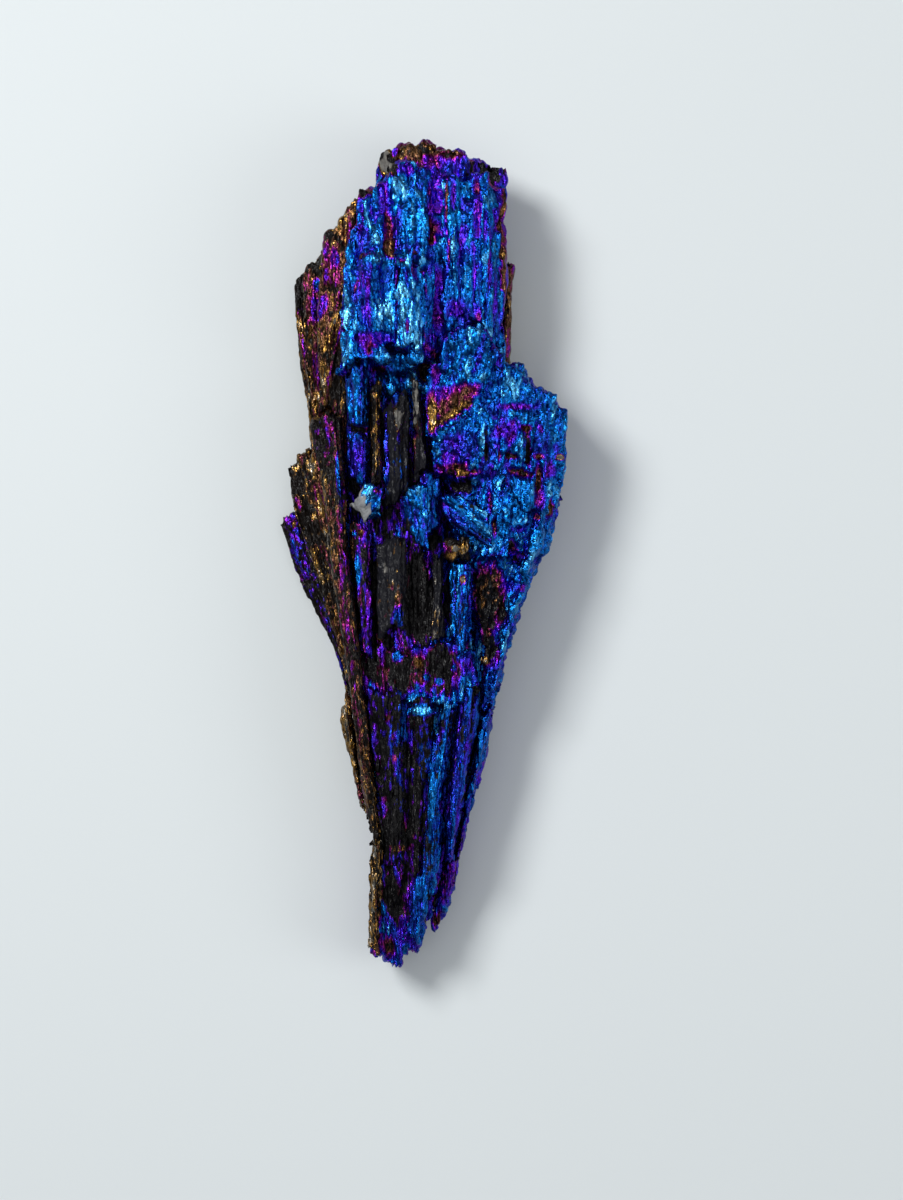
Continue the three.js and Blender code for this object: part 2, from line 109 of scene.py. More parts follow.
def between(tree, value, low, high, to_low=0.0, to_high=1.0):
    """A value that goes smoothly from to_low to to_high as another goes from low to high."""
    node = place(
        tree,
        "ShaderNodeMapRange",
        {"Value": value, "From Min": low, "From Max": high, "To Min": to_low, "To Max": to_high},
        interpolation_type="SMOOTHSTEP",
    )
    return node.outputs["Result"]


# The vapour came from here. It left a thinner film on a grain that leans away from it, in the grooves between
# laths, and in the furrows between fibres.
VAPOUR_FROM = (0.2, -0.02, 0.98)
LEAN_THINS = 0.8
GROOVE_THINS = 0.09
FURROW_THINS = 0.05

GRAIN_INPUTS = [
    # name, socket, default. Lengths are in metres, and the density is in splinters to a square metre.
    ("Fan Point", "NodeSocketVector", (-1 * MM, -60 * MM, 0)),
    ("Fan Reach", "NodeSocketFloat", 60 * MM),
    ("Lath Width", "NodeSocketFloat", 1.0 * MM),
    ("Lath Length", "NodeSocketFloat", 9 * MM),
    ("Lath Step", "NodeSocketFloat", 0.13 * MM),
    ("Fibre Width", "NodeSocketFloat", 0.4 * MM),
    ("Fibre Length", "NodeSocketFloat", 1.4 * MM),
    ("Fibre Step", "NodeSocketFloat", 0.1 * MM),
    ("Facet Tilt", "NodeSocketFloat", 0.6),
    ("Groove Depth", "NodeSocketFloat", 0.3 * MM),
    ("Ragged End", "NodeSocketFloat", 1.4),
    ("Grit", "NodeSocketFloat", 0.035 * MM),
    ("Swell", "NodeSocketFloat", 0.08 * MM),
    ("Film", "NodeSocketFloat", 0.86),
    ("Film Patches", "NodeSocketFloat", 0.1),
    ("Film Facing", "NodeSocketFloat", 0.2),
    ("Cover", "NodeSocketFloat", 1.0),
    ("Splinter Density", "NodeSocketFloat", 0.0),
    ("Splinter Size", "NodeSocketFloat", 0.6),
    ("Splinters From", "NodeSocketFloat", -29 * MM),
    ("Splinters To", "NodeSocketFloat", 12 * MM),
    ("Seed", "NodeSocketInt", 1),
]


def grain_tree(name, patches, chips, finish):
    """Fibres, steps, splinters and the film, for one piece. Each patch is an ellipse on its upper side that
    has another film and stands up or sinks: (x, y, half width, half length, film, cover, rise), in
    millimetres, and then the degrees that it is turned anticlockwise, where it is."""
    tree = bpy.data.node_groups.new(name, "GeometryNodeTree")
    tree.interface.new_socket(name="Geometry", in_out="INPUT", socket_type="NodeSocketGeometry")
    for label, socket, default in GRAIN_INPUTS:
        tree.interface.new_socket(name=label, in_out="INPUT", socket_type=socket).default_value = default
    tree.interface.new_socket(name="Geometry", in_out="OUTPUT", socket_type="NodeSocketGeometry")
    given = tree.nodes.new("NodeGroupInput").outputs
    # how far one seed's pattern lies from the next one's, and the fibres' cells from the laths'
    seed_shift = 3.7
    fibre_shift = 40.0
    seed = number(tree, "MULTIPLY", given["Seed"], seed_shift)

    # fibre coordinates: across the fan, out from the fan point, and up
    position = tree.nodes.new("GeometryNodeInputPosition").outputs[0]
    normal = tree.nodes.new("GeometryNodeInputNormal").outputs[0]
    outwards = vector(tree, "MULTIPLY", vector(tree, "SUBTRACT", position, given["Fan Point"]), (1, 1, 0))
    reach = vector(tree, "LENGTH", outwards)
    apart = place(tree, "ShaderNodeSeparateXYZ", {0: outwards}).outputs
    here = place(tree, "ShaderNodeSeparateXYZ", {0: position}).outputs
    turn = number(tree, "ARCTAN2", apart["X"], apart["Y"])
    across = number(tree, "MULTIPLY", turn, given["Fan Reach"])
    along = place(tree, "ShaderNodeCombineXYZ", {0: across, 1: reach, 2: here["Z"]}).outputs[0]
    direction = vector(tree, "NORMALIZE", outwards)
    endness = number(tree, "ABSOLUTE", vector(tree, "DOT_PRODUCT", normal, direction))

    def cells(width, length, shift):
        """Grains that lie along the fibres: a random number for each, how far its edge is, how far its face
        leans across the fibres, and the height that the lean gives here."""
        thick_for_wide = 1.6
        thickness = number(tree, "MULTIPLY", width, thick_for_wide)
        place_across = number(tree, "DIVIDE", across, width)
        stretched = place(
            tree,
            "ShaderNodeCombineXYZ",
            {
                0: number(tree, "ADD", place_across, number(tree, "ADD", seed, shift)),
                1: number(tree, "DIVIDE", reach, length),
                2: number(tree, "DIVIDE", here["Z"], thickness),
            },
        ).outputs[0]
        inputs = {"Vector": stretched, "Scale": 1.0, "Randomness": 0.95}
        nearest = place(tree, "ShaderNodeTexVoronoi", inputs, feature="F1").outputs
        edge = place(tree, "ShaderNodeTexVoronoi", inputs, feature="DISTANCE_TO_EDGE").outputs["Distance"]
        random = vector(tree, "SUBTRACT", nearest["Color"], (0.5, 0.5, 0.5))
        random = place(tree, "ShaderNodeSeparateXYZ", {0: random}).outputs
        lean = place(tree, "ShaderNodeCombineXYZ", {0: random[1], 1: random[2]}).outputs[0]
        lift = vector(tree, "DOT_PRODUCT", vector(tree, "SUBTRACT", stretched, nearest["Position"]), lean)
        return random[0], edge, random[1], number(tree, "MULTIPLY", lift, width)

    def clouds(size, detail=2.0):
        """A number that wanders around 0 from place to place, in clouds of about this size."""
        node = place(
            tree,
            "ShaderNodeTexNoise",
            {"Vector": vector(tree, "DIVIDE", along, size), "W": seed, "Scale": 1.0, "Detail": detail},
            noise_dimensions="4D",
        )
        return number(tree, "SUBTRACT", node.outputs[0], 0.5)

    lath_pick, lath_edge, lath_lean, lath_lift = cells(given["Lath Width"], given["Lath Length"], 0.0)
    fibre_pick, fibre_edge, fibre_lean, fibre_lift = cells(
        given["Fibre Width"], given["Fibre Length"], fibre_shift
    )
    # the share of a grain's width that its edge slopes over, and how quickly a groove and a furrow narrow
    slope = 0.4
    groove_narrows = 1.6
    furrow_narrows = 1.4
    groove = number(tree, "POWER", between(tree, lath_edge, 0.0, slope, 1.0, 0.0), groove_narrows)
    furrow = number(tree, "POWER", between(tree, fibre_edge, 0.0, slope, 1.0, 0.0), furrow_narrows)
    # a pick goes from -0.5 to 0.5, so twice it goes a whole step down or up
    lath_step = number(tree, "MULTIPLY", given["Lath Step"], 2.0)
    fibre_step = number(tree, "MULTIPLY", given["Fibre Step"], 2.0)
    step = number(tree, "MULTIPLY", lath_pick, lath_step)
    step = number(tree, "MULTIPLY_ADD", fibre_pick, fibre_step, step)
    step = number(tree, "MULTIPLY", step, number(tree, "MULTIPLY_ADD", endness, given["Ragged End"], 1.0))
    slant = number(tree, "ADD", lath_lift, fibre_lift)
    step = number(tree, "MULTIPLY_ADD", slant, given["Facet Tilt"], step)
    rise = number(tree, "ADD", step, given["Swell"])
    rise = number(tree, "SUBTRACT", rise, number(tree, "MULTIPLY", groove, given["Groove Depth"]))
    deep_for_step = 1.4
    furrow_depth = number(tree, "MULTIPLY", given["Fibre Step"], deep_for_step)
    rise = number(tree, "SUBTRACT", rise, number(tree, "MULTIPLY", furrow, furrow_depth))
    grit_detail = 3.0
    grit_gain = 4.0
    grit = clouds((0.3 * MM, 0.9 * MM, 0.4 * MM), grit_detail)
    rise = number(tree, "MULTIPLY_ADD", grit, number(tree, "MULTIPLY", given["Grit"], grit_gain), rise)

    # film thickness, from 0, none, to 1, pale cyan, and how much of the crystal it covers
    facing = vector(tree, "DOT_PRODUCT", normal, VAPOUR_FROM)
    turned_away = -0.25
    turned_to = 0.9
    turned = number(tree, "SUBTRACT", between(tree, facing, turned_away, turned_to), 1.0)
    turned = number(tree, "MULTIPLY_ADD", number(tree, "ADD", lath_lean, fibre_lean), -LEAN_THINS, turned)
    film = number(tree, "MULTIPLY_ADD", turned, given["Film Facing"], given["Film"])
    cloud = clouds((2.0 * MM, 5.0 * MM, 2.0 * MM))
    for varies, weight in ((cloud, 2.6), (lath_pick, 0.8), (fibre_pick, 0.6)):
        weight = number(tree, "MULTIPLY", given["Film Patches"], weight)
        film = number(tree, "MULTIPLY_ADD", varies, weight, film)
    cover = given["Cover"]
    looks_down = -0.2
    looks_up = 0.3
    upright = place(tree, "ShaderNodeSeparateXYZ", {0: normal}).outputs["Z"]
    upper = between(tree, upright, looks_down, looks_up)
    # the ellipse's edge wanders with the clouds and from fibre to fibre. The patch is whole inside the first
    # of these shares of its radius, and fades out to nothing at the second.
    cloud_wander = 0.9
    fibre_wander = 0.35
    whole_within = 0.45
    gone_beyond = 1.2
    for x, y, half_width, half_length, thickness, covered, lift, *turned_by in patches:
        away = vector(tree, "SUBTRACT", vector(tree, "MULTIPLY", position, (1, 1, 0)), (x * MM, y * MM, 0))
        if turned_by:
            back_again = {"Vector": away, "Angle": -math.radians(turned_by[0])}
            away = place(tree, "ShaderNodeVectorRotate", back_again, rotation_type="Z_AXIS").outputs[0]
        away = vector(tree, "LENGTH", vector(tree, "DIVIDE", away, (half_width * MM, half_length * MM, 1)))
        away = number(tree, "MULTIPLY_ADD", cloud, cloud_wander, away)
        away = number(tree, "MULTIPLY_ADD", fibre_pick, fibre_wander, away)
        share = number(tree, "MULTIPLY", between(tree, away, whole_within, gone_beyond, 1.0, 0.0), upper)
        film = number(tree, "MULTIPLY_ADD", number(tree, "SUBTRACT", thickness, film), share, film)
        cover = number(tree, "MULTIPLY_ADD", number(tree, "SUBTRACT", covered, cover), share, cover)
        rise = number(tree, "MULTIPLY_ADD", share, lift * MM, rise)
    film = number(tree, "MULTIPLY_ADD", groove, -GROOVE_THINS, film)
    film = number(tree, "MULTIPLY_ADD", furrow, -FURROW_THINS, film)
    film = number(tree, "MINIMUM", number(tree, "MAXIMUM", film, 0.0), 1.0)
    # the film lies where the spots stand above a rim, which falls as the cover grows
    spot_contrast = 1.8
    middle_spot = 0.5
    rim_without_cover = 1.3
    rim_falls = 1.7
    fades = 0.16
    small_clouds = clouds((0.3 * MM, 0.7 * MM, 0.35 * MM))
    spots = number(tree, "MULTIPLY_ADD", small_clouds, spot_contrast, middle_spot)
    for varies, weight in ((cloud, 0.9), (fibre_pick, 0.3), (lath_pick, 0.3)):
        spots = number(tree, "MULTIPLY_ADD", varies, weight, spots)
    rim = number(tree, "MULTIPLY_ADD", cover, -rim_falls, rim_without_cover)
    coated = between(tree, spots, number(tree, "SUBTRACT", rim, fades), number(tree, "ADD", rim, fades))

    def marked(geometry, label, value, kind="FLOAT"):
        """The geometry, with a value stored on its points for the material to read."""
        return place(
            tree,
            "GeometryNodeStoreNamedAttribute",
            {"Geometry": geometry, "Name": label, "Value": value},
            data_type=kind,
            domain="POINT",
        ).outputs[0]

    blade = marked(marked(given["Geometry"], "film", film), "cover", coated)
    moved = vector(tree, "ADD", position, vector(tree, "SCALE", normal, rise))
    body = place(tree, "GeometryNodeSetPosition", {"Geometry": blade, "Position": moved}).outputs[0]

    # splinters: thin broken laths that lie along the fibres, half sunk in the face that they grew on
    inside = number(tree, "GREATER_THAN", here["Y"], given["Splinters From"])
    below_end = number(tree, "LESS_THAN", here["Y"], given["Splinters To"])
    inside = number(tree, "MULTIPLY", inside, below_end)
    scatter = place(
        tree,
        "GeometryNodeDistributePointsOnFaces",
        {
            "Mesh": blade,
            "Density": number(tree, "MULTIPLY", inside, given["Splinter Density"]),
            "Seed": given["Seed"],
        },
    )
    lying = place(tree, "FunctionNodeAlignRotationToVector", {"Vector": direction}, axis="Y").outputs[0]
    lying = place(
        tree,
        "FunctionNodeAlignRotationToVector",
        {"Rotation": lying, "Vector": scatter.outputs["Normal"]},
        axis="Z",
        pivot_axis="Y",
    ).outputs[0]

    def chance(low, high, shift):
        """A random vector between low and high for each splinter."""
        seed_socket = 8
        return place(
            tree,
            "FunctionNodeRandomValue",
            {0: low, 1: high, seed_socket: number(tree, "ADD", given["Seed"], shift)},
            data_type="FLOAT_VECTOR",
        ).outputs[0]

    tilt_shift = 5.0
    size_shift = 6.0
    most_tilt = (0.05, 0.3, 0.09)
    least_tilt = tuple(-angle for angle in most_tilt)
    smallest = (0.3 * MM, 1.2 * MM, 0.22 * MM)
    largest = (0.75 * MM, 4.2 * MM, 0.5 * MM)
    tilted = place(
        tree,
        "FunctionNodeRotateRotation",
        {"Rotation": lying, "Rotate By": chance(least_tilt, most_tilt, tilt_shift)},
        rotation_space="LOCAL",
    ).outputs[0]
    size = chance(smallest, largest, size_shift)
    chip = place(
        tree,
        "GeometryNodeCollectionInfo",
        {"Collection": chips, "Separate Children": True, "Reset Children": True},
    ).outputs[0]
    fallen = place(
        tree,
        "GeometryNodeInstanceOnPoints",
        {
            "Points": scatter.outputs["Points"],
            "Instance": chip,
            "Pick Instance": True,
            "Rotation": tilted,
            "Scale": vector(tree, "SCALE", size, given["Splinter Size"]),
        },
    ).outputs[0]
    loose = place(tree, "GeometryNodeRealizeInstances", {"Geometry": fallen}).outputs[0]
    joined = tree.nodes.new("GeometryNodeJoinGeometry")
    tree.links.new(body, joined.inputs[0])
    tree.links.new(loose, joined.inputs[0])
    # nothing goes below the table
    above_table = vector(tree, "MAXIMUM", position, (-1.0, -1.0, 0.0))
    standing = place(
        tree,
        "GeometryNodeSetPosition",
        {"Geometry": joined.outputs[0], "Position": above_table},
    ).outputs[0]
    grown = marked(standing, "along", along, "FLOAT_VECTOR")
    smooth = place(tree, "GeometryNodeSetShadeSmooth", {"Geometry": grown, "Shade Smooth": True}).outputs[0]
    realized = place(tree, "GeometryNodeRealizeInstances", {"Geometry": smooth}).outputs[0]
    finished = place(tree, "GeometryNodeSetMaterial", {"Geometry": realized, "Material": finish}).outputs[0]
    tree.links.new(finished, tree.nodes.new("NodeGroupOutput").inputs[0])
    return tree


FILM = [
    # share of the full film, and the colour of the coated metal there
    (0.00, (0.120, 0.115, 0.105)),
    (0.09, (0.240, 0.225, 0.195)),
    (0.15, (0.260, 0.170, 0.080)),
    (0.20, (0.340, 0.185, 0.034)),
    (0.25, (0.150, 0.070, 0.026)),
    (0.31, (0.070, 0.036, 0.020)),
    (0.37, (0.100, 0.028, 0.028)),
    (0.41, (0.160, 0.016, 0.070)),
    (0.45, (0.170, 0.012, 0.180)),
    (0.50, (0.100, 0.010, 0.330)),
    (0.56, (0.052, 0.012, 0.440)),
    (0.64, (0.014, 0.030, 0.370)),
    (0.72, (0.006, 0.066, 0.350)),
    (0.84, (0.005, 0.150, 0.480)),
    (1.00, (0.130, 0.500, 0.800)),
]


def coated_kyanite(name, roughness, glitter, variety, bare, grain=1.0):
    """Titanium film on kyanite, coloured by its thickness, over fine striations and glittering cleavage
    steps. bare is the colour of the crystal where there is no film, glitter how far its small grains tilt,
    variety how much the film differs from one grain to the next, and grain how large the grains are."""
    material = bpy.data.materials.new(name)
    material.use_nodes = True
    tree = material.node_tree
    tree.nodes.clear()
    film = place(tree, "ShaderNodeAttribute", attribute_name="film").outputs["Fac"]
    cover = place(tree, "ShaderNodeAttribute", attribute_name="cover").outputs["Fac"]
    along = place(tree, "ShaderNodeAttribute", attribute_name="along").outputs["Vector"]

    def noise(size):
        """A number that wanders around 0 from place to place, in spots of about this size."""
        node = place(
            tree,
            "ShaderNodeTexNoise",
            {"Vector": vector(tree, "DIVIDE", along, size), "Scale": 1.0, "Detail": 2.0},
        )
        return number(tree, "SUBTRACT", node.outputs[0], 0.5)

    def grains(size):
        """Grains of about this size: a random vector for each, and how far its middle is."""
        node = place(
            tree,
            "ShaderNodeTexVoronoi",
            {"Vector": vector(tree, "DIVIDE", along, size), "Scale": 1.0},
        )
        return vector(tree, "SUBTRACT", node.outputs["Color"], (0.5, 0.5, 0.5)), node.outputs["Distance"]

    coarse, dome = grains((0.22 * grain * MM, 0.7 * grain * MM, 0.36 * grain * MM))
    fine, _ = grains((0.12 * grain * MM, 0.3 * grain * MM, 0.18 * grain * MM))
    fleck = noise((0.15 * MM, 0.5 * MM, 0.2 * MM))
    shade = place(tree, "ShaderNodeSeparateXYZ", {0: coarse}).outputs
    fleck_in_film = 0.18
    grain_in_film = 0.2
    thickness = number(tree, "MULTIPLY_ADD", fleck, fleck_in_film, film)
    thickness = number(tree, "MULTIPLY_ADD", shade["X"], grain_in_film * variety, thickness)
    ramp = place(tree, "ShaderNodeValToRGB", {"Fac": thickness})
    stops = ramp.color_ramp.elements
    while len(stops) > 1:
        stops.remove(stops[-1])
    for i, (share, colour) in enumerate(FILM):
        stop = stops[0] if i == 0 else stops.new(share)
        stop.position = share
        stop.color = (*colour, 1)
    patchy = number(tree, "MULTIPLY_ADD", shade["Y"], variety, cover)
    # a cover below the first of these is bare crystal, and above the second it is all film
    fleck_in_cover = 0.8
    bare_below = 0.3
    coated_above = 0.7
    patchy = number(tree, "MULTIPLY_ADD", fleck, fleck_in_cover, patchy)
    patchy = between(tree, patchy, bare_below, coated_above)
    bare_socket = 6
    coated_socket = 7
    colour_result = 2
    colour = place(
        tree,
        "ShaderNodeMix",
        {"Factor": patchy, bare_socket: (*bare, 1), coated_socket: ramp.outputs["Color"]},
        data_type="RGBA",
    ).outputs[colour_result]
    # the thinnest film does not shine as metal
    dull_below = 0.02
    metal_above = 0.12
    metal = number(tree, "MULTIPLY", patchy, between(tree, thickness, dull_below, metal_above))
    dome_height = 0.8
    pits = noise((0.14 * MM, 0.3 * MM, 0.16 * MM))
    relief = number(tree, "MULTIPLY_ADD", dome, -dome_height, pits)
    bump = place(
        tree,
        "ShaderNodeBump",
        {"Height": relief, "Strength": 0.8, "Distance": 0.12 * MM},
    ).outputs[0]
    fine_glitter = 0.7
    tilt_coarse = vector(tree, "SCALE", coarse, glitter)
    tilt_fine = vector(tree, "SCALE", fine, glitter * fine_glitter)
    facet = vector(tree, "NORMALIZE", vector(tree, "ADD", bump, vector(tree, "ADD", tilt_coarse, tilt_fine)))
    fleck_reach = 0.2
    smoothest = roughness - 0.06
    roughest = roughness + 0.1
    shine = place(
        tree,
        "ShaderNodeBsdfPrincipled",
        {
            "Base Color": colour,
            "Metallic": metal,
            "Specular IOR Level": 0.13,
            "Roughness": between(tree, fleck, -fleck_reach, fleck_reach, smoothest, roughest),
            "Normal": facet,
        },
    ).outputs[0]
    place(tree, "ShaderNodeOutputMaterial", {"Surface": shine})
    return material


def chip_mesh(name, lean, seed):
    """One splinter, a unit long, wide and thick: a flattened prism whose ends are broken off slanted."""
    sides = 6
    half_width = 0.56
    half_thickness = 0.5
    unevenness_along = 0.03
    unevenness_up = 0.08
    draw = np.random.default_rng(seed)
    mesh = bpy.data.meshes.new(name)
    shape = bmesh.new()
    rings = []
    # how far along the splinter, and the share of its full width there
    for y, narrow in ((-0.5, 0.62), (-0.36, 0.95), (0.34, 1.0), (0.5, 0.6)):
        ring = []
        for corner in range(sides):
            turn = math.tau * (corner + 0.5) / sides
            x = half_width * narrow * math.cos(turn)
            z = half_thickness * narrow * math.sin(turn)
            broken = 2 * lean * x * y + draw.uniform(-unevenness_along, unevenness_along)
            uneven = draw.uniform(-unevenness_up, unevenness_up)
            ring.append(shape.verts.new((x, y + broken, z + uneven)))
        rings.append(ring)
    for low, high in zip(rings, rings[1:]):
        for k in range(sides):
            after = (k + 1) % sides
            shape.faces.new((low[k], low[after], high[after], high[k]))
    shape.faces.new(rings[0])
    shape.faces.new(rings[-1])
    bmesh.ops.recalc_face_normals(shape, faces=shape.faces)
    shape.to_mesh(mesh)
    shape.free()
    return bpy.data.objects.new(name, mesh)


chips = bpy.data.collections.new("chips")
for lean, seed in ((0.3, 1), (-0.4, 2), (0.1, 3), (-0.15, 4)):
    chips.objects.link(chip_mesh(f"chip_{seed}", lean, seed))


def plain(thing):
    """The mesh of an object as its modifiers leave it."""
    return bpy.data.meshes.new_from_object(thing.evaluated_get(bpy.context.evaluated_depsgraph_get()))


def close_grained(node, cell, stretch, back):
    """A copy of a CAD node, merged and remeshed in cells that are longer along the fibres than across them.
    back is the share of the triangles that is kept underneath, where the piece lies on the table."""
    same_place = 1e-7
    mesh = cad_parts[node].data.copy()
    shape = bmesh.new()
    shape.from_mesh(mesh)
    bmesh.ops.remove_doubles(shape, verts=shape.verts, dist=same_place)
    bmesh.ops.scale(shape, vec=(1, 1 / stretch, 1), verts=shape.verts)
    shape.to_mesh(mesh)
    shape.free()
    copy = bpy.data.objects.new(node + "_cells", mesh)
    bpy.context.scene.collection.objects.link(copy)
    remesh = copy.modifiers.new("cells", "REMESH")
    remesh.mode = "VOXEL"
    remesh.voxel_size = cell
    copy.data = plain(copy)
    copy.modifiers.clear()
    if back < 1:
        looks_down = -0.25
        down = np.array([v.normal.z < looks_down for v in copy.data.vertices])
        copy.vertex_groups.new(name="back").add([int(i) for i in np.flatnonzero(down)], 1.0, "REPLACE")
        coarse = copy.modifiers.new("coarse_back", "DECIMATE")
        coarse.ratio = 1 - down.mean() * (1 - back)
        coarse.vertex_group = "back"
        coarse.use_collapse_triangulate = True
        copy.data = plain(copy)
        copy.modifiers.clear()
    fine = copy.data
    bpy.data.objects.remove(copy)
    fine.transform(((1, 0, 0, 0), (0, stretch, 0, 0), (0, 0, 1, 0), (0, 0, 0, 1)))
    fine.materials.clear()
    return fine


def grow(node, finish, sizes, patches=(), cell=0.11 * MM, stretch=2.2, back=1.0):
    """The visible piece for one CAD node, with the grain tree's result as its plain mesh. sizes are the grain
    tree's inputs that differ from their defaults."""
    piece = bpy.data.objects.new(node + "_crystal", close_grained(node, cell, stretch, back))
    bpy.context.scene.collection.objects.link(piece)
    tree = grain_tree(node + "_grain", patches, chips, finish)
    grain = piece.modifiers.new("grain", "NODES")
    grain.node_group = tree
    for item in tree.interface.items_tree:
        if item.in_out == "INPUT" and item.name in sizes:
            grain[item.identifier] = sizes[item.name]
    mesh = plain(piece)
    piece.modifiers.clear()
    piece.data = mesh
    mesh.materials.clear()
    mesh.materials.append(finish)
    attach(piece, "root")
    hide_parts(node)


